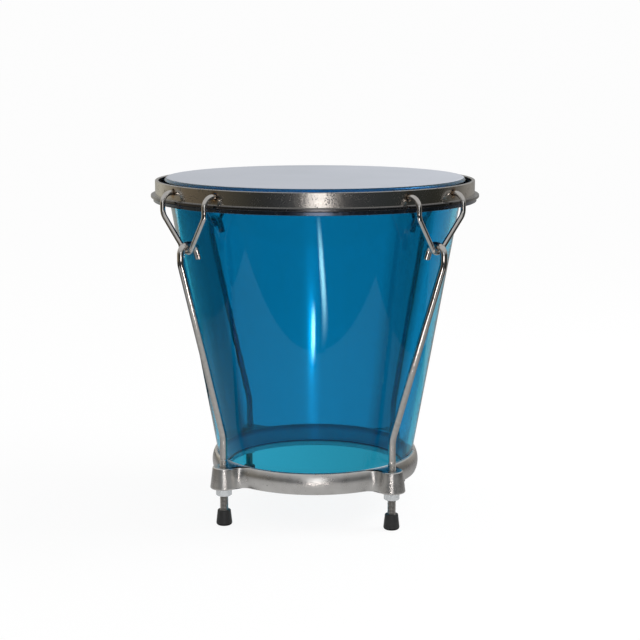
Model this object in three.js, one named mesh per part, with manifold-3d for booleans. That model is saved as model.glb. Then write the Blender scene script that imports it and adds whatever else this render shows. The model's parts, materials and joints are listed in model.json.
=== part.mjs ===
// A single-headed hand drum: a clear conical shell, a film head held by a flesh hoop and a rim, and four
// tuning stations. At each station a claw hook hangs in two holes of the rim. A tension rod hooks into the
// claw, runs down beside the shell and through a lug of the cast base ring, carries a nut below the lug and
// stands on a rubber foot. Lengths are in millimetres, angles in degrees, +Z is up and the origin is on the
// floor below the drum's axis.

import * as THREE from 'three';
import { mergeVertices } from 'three/addons/utils/BufferGeometryUtils.js';
import Module from 'manifold-3d';

const wasm = await Module();
wasm.setup();

// Fits
const FIT_GAP = 0.3; // between pieces that touch
const LUG_HOLE_PLAY = 0.4; // round a rod in its lug
const RIM_HOLE_PLAY = 0.5; // round a claw's wire in the rim
const CLAW_LIP_GAP = 2; // between a claw and the lip of the rim that it passes
const ROD_HOOK_PLAY = 1.8; // round a claw's wire inside the hook of a rod
const CLAW_BEND_PLAY = 1.1; // round a rod inside the bend of a claw

// Tuning stations
const STATIONS = 4;
const RIM_TURN = 4; // how far the rim and its claws sit turned from the lugs

// Shell
const SHELL_HEIGHT = 212.5;
const SHELL_TOP_DIAMETER = 214.8;
const SHELL_BOTTOM_DIAMETER = 140;
const SHELL_WALL = 4;

// Head and flesh hoop
const FILM = 0.5;
const HOOP_LEDGE = 0.9; // steel under the head's collar
const HOOP_LIP_STEP = 1.8; // how far the hoop's edge stays inside the rim's lip
const REBATE_DEPTH = 1.4; // how far the head's collar reaches into the hoop

// Rim
const RIM_BELOW_HEAD = 2;
const RIM_HEIGHT = 12.1;
const RIM_THICKNESS = 2.5;
const RIM_HEAD_GAP = 4;
const LIP_HEIGHT = 1.9;
const LIP_WIDTH = 3.1;
const STEEL_EDGE = 0.5; // chamfer on the edges of the rim and the flesh hoop
const HOLE_BELOW_RIM_TOP = 4.6;

// Claw hooks
const CLAW_WIRE = 3.6;
const CLAW_SPREAD = 44; // between the two holes of one claw
const CLAW_END_GAP = 1.8; // between a claw's cut ends and the head's collar
const CLAW_LEG = 13.6; // from the holes down to the bends
const CLAW_ELBOW_RADIUS = 9;
const CLAW_VEE = 28; // from the bends down to where the legs would meet
const CLAW_LEAN = 4; // how far the vee leans in towards the shell

// Tension rods
const ROD_DIAMETER = 5.2;
const THREAD_DIAMETER = 6;
const THREAD_ABOVE_LUG = 6;
const THREAD_CHAMFER = 0.6;
const SHANK_LAP = 2; // how far the shank runs into the threaded end
const ROD_STUB = 3.6; // cut end of the hook, below its bend
const ROD_STUB_LEAN = 3.4; // how far that end leans in
const ROD_KNEE_DROP = 6; // straight part of the hook's outer leg
const ROD_KNEE_RADIUS = 14;
const ROD_BEND_ABOVE_RING = 22;
const ROD_BEND_RADIUS = 24;

// Base ring
const RING_HEIGHT = 15.5;
const RING_EDGE_WALL = 1.7; // at the top edge
const RING_CROWN = 2; // how far the outer face swells beyond its edges
const LEDGE_HEIGHT = 3;
const LEDGE_INSIDE = 0.2; // how far the ledge shows inside the shell
const LUG_OFFSET = 8; // from the ring's outer face to the rod
const LUG_WALL = 6.4; // round the rod's hole, at the lug's foot
const LUG_FILLET = 8;
const LUG_DRAFT = 2; // how far the lug's face leans in from its foot to its top

// Nuts and feet
const NUT_SIDES = 6;
const NUT_ACROSS_FLATS = 10;
const NUT_HEIGHT = 5.2;
const NUT_CHAMFER = 0.8;
const NUT_CHAMFER_ANGLE = 30;
const STUD_SHOWING = 10.5; // bare thread between a nut and a foot
const FOOT_HEIGHT = 11.3;
const FOOT_WALL = 1.4; // rubber round the rod, at the top
const FOOT_FLARE = 1.2; // how much wider the foot is below, all round
const FOOT_SOLE = 3.3; // rubber below the end of the rod
const FOOT_EDGE = 0.8;

// Faceting
const ROUND_STEPS = 64;
const SMALL_ROUND_STEPS = 16;
const WIRE_SIDES = 10;
const BEND_STEP = 18; // of a wire's bend in one facet
const SHORTEST_RUN = 0.2; // nearer points of a wire's path are one
const WELD_DISTANCE = 1e-4; // nearer corners of a solid are one
const ARC_STEPS = 4;

// Heights worked out from the sizes above
const ringBottom = FOOT_HEIGHT + STUD_SHOWING + NUT_HEIGHT + FIT_GAP;
const ringTop = ringBottom + RING_HEIGHT;
const shellBottom = ringBottom + LEDGE_HEIGHT + FIT_GAP;
const shellTop = shellBottom + SHELL_HEIGHT;
const headTop = shellTop + FIT_GAP + FILM;
const rimTop = headTop - RIM_BELOW_HEAD;
const rimBottom = rimTop - RIM_HEIGHT;
const hoopTop = rimBottom - FIT_GAP;
const holeHeight = rimTop - HOLE_BELOW_RIM_TOP;
const rodEnd = FOOT_SOLE + FIT_GAP;
const threadTop = ringTop + THREAD_ABOVE_LUG;

// Radii worked out from the sizes above
const shellTaper = (SHELL_TOP_DIAMETER - SHELL_BOTTOM_DIAMETER) / 2 / SHELL_HEIGHT;
const shellRadiusAt = (height) => SHELL_BOTTOM_DIAMETER / 2 + shellTaper * (height - shellBottom);
const edgeRadius = SHELL_WALL / 2;
const collarInside = SHELL_TOP_DIAMETER / 2 + FIT_GAP;
const collarOutside = collarInside + FILM;
const rimInside = collarOutside + RIM_HEAD_GAP;
const rimOutside = rimInside + RIM_THICKNESS;
const lipOutside = rimOutside + LIP_WIDTH;
const ringOutside = shellRadiusAt(ringTop) + FIT_GAP + RING_EDGE_WALL + RING_CROWN;
const rodReach = ringOutside + LUG_OFFSET;
const lugHoleRadius = THREAD_DIAMETER / 2 + LUG_HOLE_PLAY;
const lugNose = lugHoleRadius + LUG_WALL;
const threadBore = THREAD_DIAMETER / 2 + FIT_GAP;
const rimHoleRadius = CLAW_WIRE / 2 + RIM_HOLE_PLAY;
const clawReach = lipOutside + CLAW_LIP_GAP + CLAW_WIRE / 2;
const rodHookRadius = CLAW_WIRE / 2 + ROD_HOOK_PLAY + ROD_DIAMETER / 2;
const clawBendRadius = ROD_DIAMETER / 2 + CLAW_BEND_PLAY + CLAW_WIRE / 2;

// Where the lowest point of a claw's centre line lies, inside its rounded bend
const clawLegsMeet = holeHeight - CLAW_LEG - CLAW_VEE;
const clawHalfAngle = Math.atan2(CLAW_SPREAD / 2, Math.hypot(CLAW_VEE, CLAW_LEAN));
const clawBendRise = clawBendRadius * (1 / Math.sin(clawHalfAngle) - 1);
const clawLowest = clawLegsMeet + clawBendRise;
const clawLowestReach = clawReach - CLAW_LEAN * (1 - clawBendRise / CLAW_VEE);

// Finishes
const finish = (color, roughness, metalness, extra = {}) =>
  new THREE.MeshStandardMaterial({ color, roughness, metalness, ...extra });
const acrylic = () => finish('#0a78ad', 0.08, 0, { transparent: true, opacity: 0.6 });
const coatedFilm = () => finish('#c3c7d2', 0.55, 0);
const chromedSteel = () => finish('#9a8f84', 0.18, 1);
const darkSteel = () => finish('#4b423d', 0.22, 1);
const nickelWire = () => finish('#a39a90', 0.22, 1);
const castAluminium = () => finish('#b4aca3', 0.3, 1);
const zincSteel = () => finish('#c2bfb8', 0.3, 1);
const blackRubber = () => finish('#17181a', 0.8, 0);

// A closed geometry as a solid for joining and cutting
function solidOf(geometry) {
  const bare = geometry.clone();
  bare.deleteAttribute('normal');
  bare.deleteAttribute('uv');
  const merged = mergeVertices(bare, WELD_DISTANCE);
  const vertProperties = new Float32Array(merged.attributes.position.array);
  const triVerts = new Uint32Array(merged.index.array);
  return new wasm.Manifold(new wasm.Mesh({ numProp: 3, vertProperties, triVerts }));
}

// A joined or cut solid as a geometry again
function geometryOf(solid) {
  const mesh = solid.getMesh();
  const geometry = new THREE.BufferGeometry();
  geometry.setAttribute('position', new THREE.BufferAttribute(new Float32Array(mesh.vertProperties), 3));
  geometry.setIndex(new THREE.BufferAttribute(new Uint32Array(mesh.triVerts), 1));
  geometry.computeVertexNormals();
  return geometry;
}

// A profile of [radius, height] points, listed anticlockwise, turned about the Z axis
function turned(profile, steps) {
  const points = profile.map(([radius, height]) => new THREE.Vector2(radius, height));
  return new THREE.LatheGeometry(points, steps).rotateX(Math.PI / 2);
}

// Points of an arc in a profile, from one angle to another about a centre
function arc(centreRadius, centreHeight, radius, from, to) {
  return Array.from({ length: ARC_STEPS + 1 }, (_, step) => {
    const angle = THREE.MathUtils.degToRad(from + ((to - from) * step) / ARC_STEPS);
    return [centreRadius + radius * Math.cos(angle), centreHeight + radius * Math.sin(angle)];
  });
}

const closed = (profile) => [...profile, profile[0]];

// A round bar from one height to another about a line parallel to the Z axis
function uprightBar(radius, bottom, top, reach) {
  const length = top - bottom;
  const bar = new THREE.CylinderGeometry(radius, radius, length, SMALL_ROUND_STEPS);
  return bar.rotateX(Math.PI / 2).translate(reach, 0, bottom + length / 2);
}

// The path of a bent wire: straight runs between corners, each corner rounded to its own bend radius
class WirePath extends THREE.Curve {
  constructor(corners, bendRadii) {
    super();
    this.points = [corners[0]];
    bendRadii.forEach((radius, index) => this.addBend(corners.slice(index, index + 3), radius));
    this.points.push(corners.at(-1));
  }

  addBend([before, corner, after], radius) {
    const back = before.clone().sub(corner).normalize();
    const ahead = after.clone().sub(corner).normalize();
    const halfOpening = back.angleTo(ahead) / 2;
    const turn = Math.PI - 2 * halfOpening;
    const tangent = radius / Math.tan(halfOpening);
    const middle = back.clone().add(ahead).normalize();
    const centre = corner.clone().addScaledVector(middle, radius / Math.sin(halfOpening));
    const first = corner.clone().addScaledVector(back, tangent).sub(centre);
    const last = corner.clone().addScaledVector(ahead, tangent).sub(centre);
    const steps = Math.ceil(turn / THREE.MathUtils.degToRad(BEND_STEP));
    for (let step = 0; step <= steps; step += 1) {
      const share = step / steps;
      const point = centre.clone();
      point.addScaledVector(first, Math.sin((1 - share) * turn) / Math.sin(turn));
      point.addScaledVector(last, Math.sin(share * turn) / Math.sin(turn));
      if (point.distanceTo(this.points.at(-1)) > SHORTEST_RUN) {
        this.points.push(point);
      }
    }
  }

  get steps() {
    return this.points.length - 1;
  }

  getPointAt(share) {
    return this.points[Math.round(share * this.steps)].clone();
  }

  getTangentAt(share) {
    const index = Math.round(share * this.steps);
    const here = this.points[index];
    const before = this.points[Math.max(index - 1, 0)];
    const after = this.points[Math.min(index + 1, this.steps)];
    const arriving = here.clone().sub(before).normalize();
    const leaving = after.clone().sub(here).normalize();
    return arriving.add(leaving).normalize();
  }
}

// Round wire along a path
function wire(path, diameter) {
  const section = new THREE.Shape().absarc(0, 0, diameter / 2, 0, 2 * Math.PI);
  const curveSegments = WIRE_SIDES / 2; // an arc takes two sides for each segment
  return new THREE.ExtrudeGeometry(section, { extrudePath: path, steps: path.steps, curveSegments });
}

// Clear cone with an even wall and a rounded bearing edge for the head
function shellGeometry() {
  const bottom = SHELL_BOTTOM_DIAMETER / 2;
  const edgeHeight = shellTop - edgeRadius;
  const edgeReach = shellRadiusAt(edgeHeight) - edgeRadius;
  return turned(
    closed([
      [bottom - SHELL_WALL, shellBottom],
      [bottom, shellBottom],
      ...arc(edgeReach, edgeHeight, edgeRadius, 0, 180),
    ]),
    ROUND_STEPS,
  );
}

// Film stretched over the bearing edge, with a collar that goes down into the flesh hoop
function headGeometry() {
  const bendHeight = shellTop - edgeRadius;
  const bendReach = collarInside - edgeRadius - FIT_GAP;
  const collarBottom = hoopTop - REBATE_DEPTH;
  return turned(
    [
      [0, headTop - FILM],
      ...arc(bendReach, bendHeight, edgeRadius + FIT_GAP, 90, 0),
      [collarInside, collarBottom],
      [collarOutside, collarBottom],
      ...arc(bendReach, bendHeight, edgeRadius + FIT_GAP + FILM, 0, 90),
      [0, headTop],
    ],
    ROUND_STEPS,
  );
}

// Flat ring with a rebate that the head's collar is set into, pressed down by the rim
function hoopGeometry() {
  const outside = lipOutside - HOOP_LIP_STEP;
  const ledgeTop = hoopTop - REBATE_DEPTH - FIT_GAP;
  const bottom = ledgeTop - HOOP_LEDGE;
  return turned(
    closed([
      [collarInside, bottom],
      [outside - STEEL_EDGE, bottom],
      [outside, bottom + STEEL_EDGE],
      [outside, hoopTop],
      [collarOutside + FIT_GAP, hoopTop],
      [collarOutside + FIT_GAP, ledgeTop],
      [collarInside, ledgeTop],
    ]),
    ROUND_STEPS,
  );
}

// Band with an outward lip at its foot and two holes for each claw
function rimGeometry() {
  const lipTop = rimBottom + LIP_HEIGHT;
  const band = turned(
    closed([
      [rimInside, rimBottom],
      [lipOutside - STEEL_EDGE, rimBottom],
      [lipOutside, rimBottom + STEEL_EDGE],
      [lipOutside, lipTop - STEEL_EDGE],
      [lipOutside - STEEL_EDGE, lipTop],
      [rimOutside, lipTop],
      [rimOutside, rimTop - STEEL_EDGE],
      [rimOutside - STEEL_EDGE, rimTop],
      [rimInside + STEEL_EDGE, rimTop],
      [rimInside, rimTop - STEEL_EDGE],
    ]),
    ROUND_STEPS,
  );
  let rim = solidOf(band);
  for (let station = 0; station < STATIONS; station += 1) {
    for (const side of [-1, 1]) {
      const drill = new THREE.CylinderGeometry(rimHoleRadius, rimHoleRadius, rimOutside, SMALL_ROUND_STEPS);
      drill.rotateZ(Math.PI / 2);
      drill.translate(rimOutside, (side * CLAW_SPREAD) / 2, holeHeight);
      drill.rotateZ(stationAngle(station) + THREE.MathUtils.degToRad(RIM_TURN));
      rim = rim.subtract(solidOf(drill));
    }
  }
  return geometryOf(rim);
}

// One bent wire: through a rim hole at each end, over the lip, and down to the vee for the rod's hook
function clawGeometry() {
  const innerEnd = collarOutside + CLAW_END_GAP;
  const shoulder = clawReach - rimOutside;
  const half = CLAW_SPREAD / 2;
  const elbow = holeHeight - CLAW_LEG;
  const path = new WirePath(
    [
      new THREE.Vector3(innerEnd, -half, holeHeight),
      new THREE.Vector3(clawReach, -half, holeHeight),
      new THREE.Vector3(clawReach, -half, elbow),
      new THREE.Vector3(clawReach - CLAW_LEAN, 0, clawLegsMeet),
      new THREE.Vector3(clawReach, half, elbow),
      new THREE.Vector3(clawReach, half, holeHeight),
      new THREE.Vector3(innerEnd, half, holeHeight),
    ],
    [shoulder, CLAW_ELBOW_RADIUS, clawBendRadius, CLAW_ELBOW_RADIUS, shoulder],
  );
  return wire(path, CLAW_WIRE);
}

// One rod: a hook over the claw, a slanting shank beside the shell, and an upright threaded end
function rodGeometry() {
  const hookTop = clawLowest + CLAW_WIRE / 2 + FIT_GAP + ROD_DIAMETER / 2;
  const stubReach = clawLowestReach - rodHookRadius;
  const legReach = clawLowestReach + rodHookRadius;
  const hookFoot = hookTop - rodHookRadius;
  const upper = [
    new THREE.Vector3(stubReach - ROD_STUB_LEAN, 0, hookFoot - ROD_STUB),
    new THREE.Vector3(stubReach, 0, hookTop),
    new THREE.Vector3(legReach, 0, hookTop),
    new THREE.Vector3(legReach, 0, hookFoot - ROD_KNEE_DROP),
  ];
  const upright = new THREE.Vector3(0, 0, 1);
  upper.forEach((point) => point.applyAxisAngle(upright, THREE.MathUtils.degToRad(RIM_TURN)));
  const lower = [
    new THREE.Vector3(rodReach, 0, ringTop + ROD_BEND_ABOVE_RING),
    new THREE.Vector3(rodReach, 0, threadTop - SHANK_LAP),
  ];
  const bends = [rodHookRadius, rodHookRadius, ROD_KNEE_RADIUS, ROD_BEND_RADIUS];
  const shank = wire(new WirePath([...upper, ...lower], bends), ROD_DIAMETER);
  const radius = THREAD_DIAMETER / 2;
  const thread = turned(
    [
      [0, rodEnd],
      [radius - THREAD_CHAMFER, rodEnd],
      [radius, rodEnd + THREAD_CHAMFER],
      [radius, threadTop - THREAD_CHAMFER],
      [radius - THREAD_CHAMFER, threadTop],
      [0, threadTop],
    ],
    SMALL_ROUND_STEPS,
  ).translate(rodReach, 0, 0);
  return geometryOf(solidOf(shank).add(solidOf(thread)));
}

// Centre of the fillet between a lug's nose and the ring, on the side of the lug towards +Y
function lugFilletCentre() {
  const toFillet = ringOutside - RING_CROWN + LUG_FILLET;
  const filletX = (toFillet ** 2 - (lugNose + LUG_FILLET) ** 2 + rodReach ** 2) / (2 * rodReach);
  return [filletX, Math.sqrt(toFillet ** 2 - filletX ** 2)];
}

// Outline of one lug seen from above: a round nose about the rod, blended into the ring by two fillets
function lugOutline() {
  const [filletX, filletY] = lugFilletCentre();
  const onRing = Math.atan2(filletY, filletX);
  const onNose = Math.atan2(filletY, filletX - rodReach);
  const outline = new THREE.Shape();
  outline.moveTo(0, 0);
  outline.absarc(filletX, -filletY, LUG_FILLET, Math.PI - onRing, Math.PI - onNose, true);
  outline.absarc(rodReach, 0, lugNose, -onNose, onNose, false);
  outline.absarc(filletX, filletY, LUG_FILLET, onNose + Math.PI, onRing + Math.PI, true);
  return outline;
}

// A point of the lug's outline moved inwards, square to the nose or the fillet that it lies on
function drawnIn([x, y], inset) {
  const onNose = Math.hypot(x - rodReach, y) < lugNose + WELD_DISTANCE;
  const [filletX, filletY] = lugFilletCentre();
  const centre = new THREE.Vector2(filletX, Math.sign(y) * filletY);
  if (onNose) {
    centre.set(rodReach, 0);
  }
  const fromCentre = new THREE.Vector2(x, y).sub(centre);
  const length = fromCentre.length() + (onNose ? -inset : inset);
  return centre.add(fromCentre.setLength(length)).toArray();
}

// One lug as a casting, narrowing towards its top
function lugGeometry() {
  const lug = new THREE.ExtrudeGeometry(lugOutline(), {
    depth: RING_HEIGHT,
    bevelEnabled: false,
    curveSegments: ARC_STEPS,
  });
  const place = lug.attributes.position;
  for (let index = 0; index < place.count; index += 1) {
    const corner = [place.getX(index), place.getY(index)];
    const inset = (LUG_DRAFT * place.getZ(index)) / RING_HEIGHT;
    if (corner[0] > 0) {
      place.setXY(index, ...drawnIn(corner, inset));
    }
  }
  return lug.translate(0, 0, ringBottom);
}

// Cast ring with a crowned outer face, a ledge under the shell, and a lug with a hole at each station
function ringGeometry() {
  const crownRadius = ((RING_HEIGHT / 2) ** 2 + RING_CROWN ** 2) / (2 * RING_CROWN);
  const crownAngle = THREE.MathUtils.radToDeg(Math.asin(RING_HEIGHT / 2 / crownRadius));
  const crownMiddle = ringBottom + RING_HEIGHT / 2;
  const body = turned(
    [
      [0, ringBottom],
      ...arc(ringOutside - crownRadius, crownMiddle, crownRadius, -crownAngle, crownAngle),
      [0, ringTop],
    ],
    ROUND_STEPS,
  );
  const mouth = SHELL_BOTTOM_DIAMETER / 2 - SHELL_WALL - LEDGE_INSIDE;
  const ledgeTop = ringBottom + LEDGE_HEIGHT;
  const above = ringTop + FIT_GAP;
  const below = ringBottom - FIT_GAP;
  const cavity = turned(
    [
      [0, below],
      [mouth, below],
      [mouth, ledgeTop],
      [shellRadiusAt(ledgeTop) + FIT_GAP, ledgeTop],
      [shellRadiusAt(above) + FIT_GAP, above],
      [0, above],
    ],
    ROUND_STEPS,
  );
  let ring = solidOf(body);
  for (let station = 0; station < STATIONS; station += 1) {
    ring = ring.add(solidOf(lugGeometry().rotateZ(stationAngle(station))));
  }
  ring = ring.subtract(solidOf(cavity));
  for (let station = 0; station < STATIONS; station += 1) {
    const drill = uprightBar(lugHoleRadius, below, above, rodReach).rotateZ(stationAngle(station));
    ring = ring.subtract(solidOf(drill));
  }
  return geometryOf(ring);
}

// Hexagon nut with chamfered corners, under the lug
function nutGeometry() {
  const top = ringBottom - FIT_GAP;
  const bottom = top - NUT_HEIGHT;
  const flat = NUT_ACROSS_FLATS / 2;
  const corner = flat / Math.cos(Math.PI / NUT_SIDES);
  const outer = flat + NUT_CHAMFER / Math.tan(THREE.MathUtils.degToRad(NUT_CHAMFER_ANGLE));
  const hexagon = new THREE.CylinderGeometry(corner, corner, NUT_HEIGHT, NUT_SIDES);
  hexagon.rotateX(Math.PI / 2).translate(0, 0, (top + bottom) / 2);
  const chamfers = turned(
    [
      [0, bottom],
      [flat, bottom],
      [outer, bottom + NUT_CHAMFER],
      [outer, top - NUT_CHAMFER],
      [flat, top],
      [0, top],
    ],
    SMALL_ROUND_STEPS,
  );
  const bore = uprightBar(threadBore, bottom - FIT_GAP, top + FIT_GAP, 0);
  const nut = solidOf(hexagon).intersect(solidOf(chamfers)).subtract(solidOf(bore));
  return geometryOf(nut).translate(rodReach, 0, 0);
}

// Tapered rubber tip with a blind hole for the end of the rod
function footGeometry() {
  const top = threadBore + FOOT_WALL;
  const base = top + FOOT_FLARE;
  return turned(
    [
      [0, 0],
      [base - FOOT_EDGE, 0],
      [base, FOOT_EDGE],
      [top, FOOT_HEIGHT - FOOT_EDGE],
      [top - FOOT_EDGE, FOOT_HEIGHT],
      [threadBore, FOOT_HEIGHT],
      [threadBore, FOOT_SOLE],
      [0, FOOT_SOLE],
    ],
    SMALL_ROUND_STEPS,
  ).translate(rodReach, 0, 0);
}

function stationAngle(station) {
  return (station * 2 * Math.PI) / STATIONS;
}

function named(name, geometry, material) {
  const mesh = new THREE.Mesh(geometry, material);
  mesh.name = name;
  return mesh;
}

// The pieces of one tuning station, in a group turned to that station
function tuningStation(station) {
  const group = new THREE.Group();
  group.rotation.z = stationAngle(station);
  const number = station + 1;
  const claw = named(`claw_hook_${number}`, clawGeometry(), nickelWire());
  claw.rotation.z = THREE.MathUtils.degToRad(RIM_TURN);
  group.add(claw);
  group.add(named(`tension_rod_${number}`, rodGeometry(), nickelWire()));
  group.add(named(`hex_nut_${number}`, nutGeometry(), zincSteel()));
  group.add(named(`rubber_foot_${number}`, footGeometry(), blackRubber()));
  return group;
}

const drum = new THREE.Group();
drum.add(named('shell', shellGeometry(), acrylic()));
drum.add(named('drum_head', headGeometry(), coatedFilm()));
drum.add(named('flesh_hoop', hoopGeometry(), darkSteel()));
drum.add(named('rim', rimGeometry(), chromedSteel()));
drum.add(named('base_ring', ringGeometry(), castAluminium()));
for (let station = 0; station < STATIONS; station += 1) {
  drum.add(tuningStation(station));
}

export default drum;
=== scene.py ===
import json
import math

import bmesh
import bpy
import numpy as np
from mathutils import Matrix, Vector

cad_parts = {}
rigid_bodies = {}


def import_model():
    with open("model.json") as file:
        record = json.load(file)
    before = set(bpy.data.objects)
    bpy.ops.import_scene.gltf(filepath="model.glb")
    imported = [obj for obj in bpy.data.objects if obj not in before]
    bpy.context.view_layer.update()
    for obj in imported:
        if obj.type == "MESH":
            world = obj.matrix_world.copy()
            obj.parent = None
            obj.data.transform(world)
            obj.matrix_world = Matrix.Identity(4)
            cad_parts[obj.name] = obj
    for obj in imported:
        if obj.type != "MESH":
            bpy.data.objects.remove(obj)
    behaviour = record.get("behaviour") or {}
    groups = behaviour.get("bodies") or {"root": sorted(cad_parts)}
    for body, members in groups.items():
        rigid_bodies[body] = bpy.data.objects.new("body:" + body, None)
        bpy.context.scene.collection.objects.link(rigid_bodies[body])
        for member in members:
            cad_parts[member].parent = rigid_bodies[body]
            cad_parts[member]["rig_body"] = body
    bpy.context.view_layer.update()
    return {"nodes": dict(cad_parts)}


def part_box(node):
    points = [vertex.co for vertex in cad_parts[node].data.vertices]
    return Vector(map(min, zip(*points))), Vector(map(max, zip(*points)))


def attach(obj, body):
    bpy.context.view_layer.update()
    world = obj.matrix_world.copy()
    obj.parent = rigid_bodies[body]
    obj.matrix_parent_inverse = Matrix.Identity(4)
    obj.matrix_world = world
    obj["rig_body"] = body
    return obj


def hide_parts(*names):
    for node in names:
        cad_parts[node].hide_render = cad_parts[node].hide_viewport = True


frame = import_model()

# A single-headed hand drum with a clear blue shell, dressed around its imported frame. Lengths are in metres,
# written as millimetres times MM. +Z is up along the drum's axis, the floor is at height 0, and the four
# tuning stations lie on +X, +Y, -X and -Y.
MM = 0.001
PER_MM = 1 / MM  # over a size in millimetres, the scale of a pattern with features of that size

# Camera
CAMERA_AZIMUTH = 50.3
CAMERA_DISTANCE = 1080.6 * MM  # from the drum's axis, level
CAMERA_HEIGHT = 328.5 * MM
CAMERA_PITCH = 9.98
CAMERA_YAW = 0.19  # aims a little to the right of the axis
CAMERA_LENS = 84.27
SENSOR_WIDTH = 36

# Tuning stations
STATIONS = 4
RIM_TURN = 4  # degrees that the rim and its claws sit turned from the lugs

# Shell and head
SHELL_FOOT_DIAMETER = 140 * MM
SHELL_WALL = 4 * MM
SHELL_FOOT_EDGE = 0.5 * MM
FIT_GAP = 0.3 * MM
FILM = 0.4 * MM
COATING = 0.1 * MM
COATING_GAP = 0.01 * MM  # keeps its underside off the film
COATING_ENDS_AT = 62  # degrees above level, on the bend of the film

# Rim and flesh hoop
RIM_THICKNESS = 2.5 * MM
RIM_STEP = 1.5 * MM  # longest side of its mesh up and down
RIM_EDGE = 0.5 * MM
LIP_HEIGHT = 1.9 * MM
LIP_WIDTH = 3.1 * MM
LIP_EDGE = 0.35 * MM
HOLE_BELOW_RIM_TOP = 4.6 * MM
HOLE_DIAMETER = 4.6 * MM
HOLE_CHAMFER = 0.5 * MM
HOOP_EDGE = 0.4 * MM
FINE_EDGE = 0.15 * MM
RUST_REACH = 3 * MM

# Claw hooks
CLAW_WIRE = 3.6 * MM
CLAW_SPREAD = 44 * MM
CLAW_LEG = 13.6 * MM
CLAW_ELBOW = 9 * MM
CLAW_VEE = 28 * MM
CLAW_LEAN = 4 * MM
CLAW_LIP_GAP = 2 * MM
CLAW_END_GAP = 1.8 * MM
CLAW_BEND_PLAY = 1.1 * MM
WIRE_CHAMFER = 0.25 * MM

# Tension rods
ROD_DIAMETER = 5.1 * MM
ROD_HOOK_BORE = 7.2 * MM
ROD_STUB = 3.6 * MM
ROD_STUB_LEAN = 3.4 * MM
ROD_KNEE_DROP = 6 * MM
ROD_KNEE = 14 * MM
ROD_BEND_ABOVE_RING = 22 * MM
ROD_BEND = 24 * MM
THREAD_DIAMETER = 6 * MM
THREAD_PITCH = 1 * MM
THREAD_DEPTH = 0.55 * MM
THREAD_ABOVE_LUG = 6 * MM
THREAD_RUN_OUT = 2.5 * MM
GRIME_AND_SHADE_ON_CREST = 0.05

# Base ring
RING_EDGE_WALL = 1.7 * MM
RING_CROWN = 2 * MM
RING_EDGE = 0.9 * MM
LEDGE_HEIGHT = 3 * MM
LEDGE_INSIDE = 0.2 * MM
LUG_NOSE = 9.8 * MM
LUG_FILLET = 8 * MM
LUG_DRAFT = 2 * MM
LUG_HOLE_DIAMETER = 6.8 * MM
CASTING_WAVE = 0.1 * MM
CASTING_WAVES = (9, 5, 17)  # round the ring: two that beat with each other, and a finer one

# Nuts and feet
NUT_SIDES = 6
NUT_ACROSS_FLATS = 10 * MM
NUT_BORE = 6.3 * MM
NUT_CHAMFER_ANGLE = 30
NUT_CORNER = 0.15 * MM
NUT_TURNS = (29, 12, -17, -6)  # degrees that each nut sits turned on its rod
FOOT_BORE = 6.5 * MM
FOOT_WALL = 1.4 * MM
FOOT_SOLE = 3.3 * MM
FOOT_EDGE = 1.8 * MM
FOOT_TOP_EDGE = 0.8 * MM

# Fineness of the meshes
ROUND_STEPS = 256
SMALL_ROUND_STEPS = 48
WIRE_SIDES = 32
BEND_STEP = math.radians(6)
STEPS_PER_PITCH = 10
SHELL_EDGE_STEPS = 25
FILM_BEND_STEPS = 13
LUG_STEPS = 40
BOW_STEPS = 60
RING_EDGE_STEPS = 8
RING_SIDE_STEPS = 24
RING_FLAT_SHARES = (0.25, 0.5, 0.75)  # where the ring's flat top and foot are divided
NUT_FLAT_STEPS = 24
NUT_CHAMFER_STEPS = 10
SUPPORT = 0.4 * MM  # how near a bend a straight run has its next point, which keeps the run's shading flat
MERGE_WITHIN = 0.001 * MM
SLIVER = 0.0001 * MM
SHARP, NUT_SHARP, THREAD_SHARP = 35, 25, 60  # degrees past which an edge is shaded sharp

# Floor and surround
WHITE = "#ffffff"
FLOOR_SIZE = 80.0
FLOOR_GLOW = 0.9
WORLD_LIGHT = 0.8

# Lamps: place towards the camera, to its right and up, then width, height, watts and whether gloss shows it
LAMPS = {"right_softbox": ((0, 750 * MM, 750 * MM), 450 * MM, 450 * MM, 5.0, False),
         "front_softbox": ((2300 * MM, 80 * MM, 420 * MM), 550 * MM, 800 * MM, 3.0, True)}
LAMP_AIM = 200 * MM  # height on the drum's axis

# Room, seen only in the gloss of the metal and the shell
ROOM_RADIUS = 3.0
ROOM_HEIGHT = 1.8
ROOM_STEPS = 96
ROOM_LEVEL = 0.5 * MM
PALE_FROM = 0.3  # height where the wall begins to grow pale
CEILING_TONE = "#cfcfcf"

# How bright the room is, going round from behind by the left, the front and the right
ROOM_TONES = [(0.0, "#959595"), (0.108, "#d8d4c5"), (0.211, "#897c69"), (0.342, "#545147"),
              (0.395, "#343635"), (0.44, "#3d4146"), (0.57, "#43464a"), (0.631, "#3a3f41"),
              (0.767, "#383831"), (0.88, "#aaa6a0"), (1.0, "#959595")]

# Sheets on the floor, seen only in gloss, by their distance towards the camera and to its right
SHADE_SIDE = 1000 * MM
LEFT_SHADE_BACK, LEFT_SHADE_ENDS = -850 * MM, -20 * MM
RIGHT_SHADE_BACK = -200 * MM
SHADE_GLOW = 0.03
SHADE_LEVEL = 1 * MM
PAPER_BACK, PAPER_FRONT = -260 * MM, 305 * MM
PAPER_LEFT, PAPER_RIGHT = -440 * MM, 350 * MM
PAPER_GLOW = 0.55
PAPER_FALL = 0.9  # how much less it glows at its sides, at the back
PAPER_LEVEL = 1.5 * MM
PAPER_ROWS, PAPER_COLUMNS = 11, 21

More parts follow.
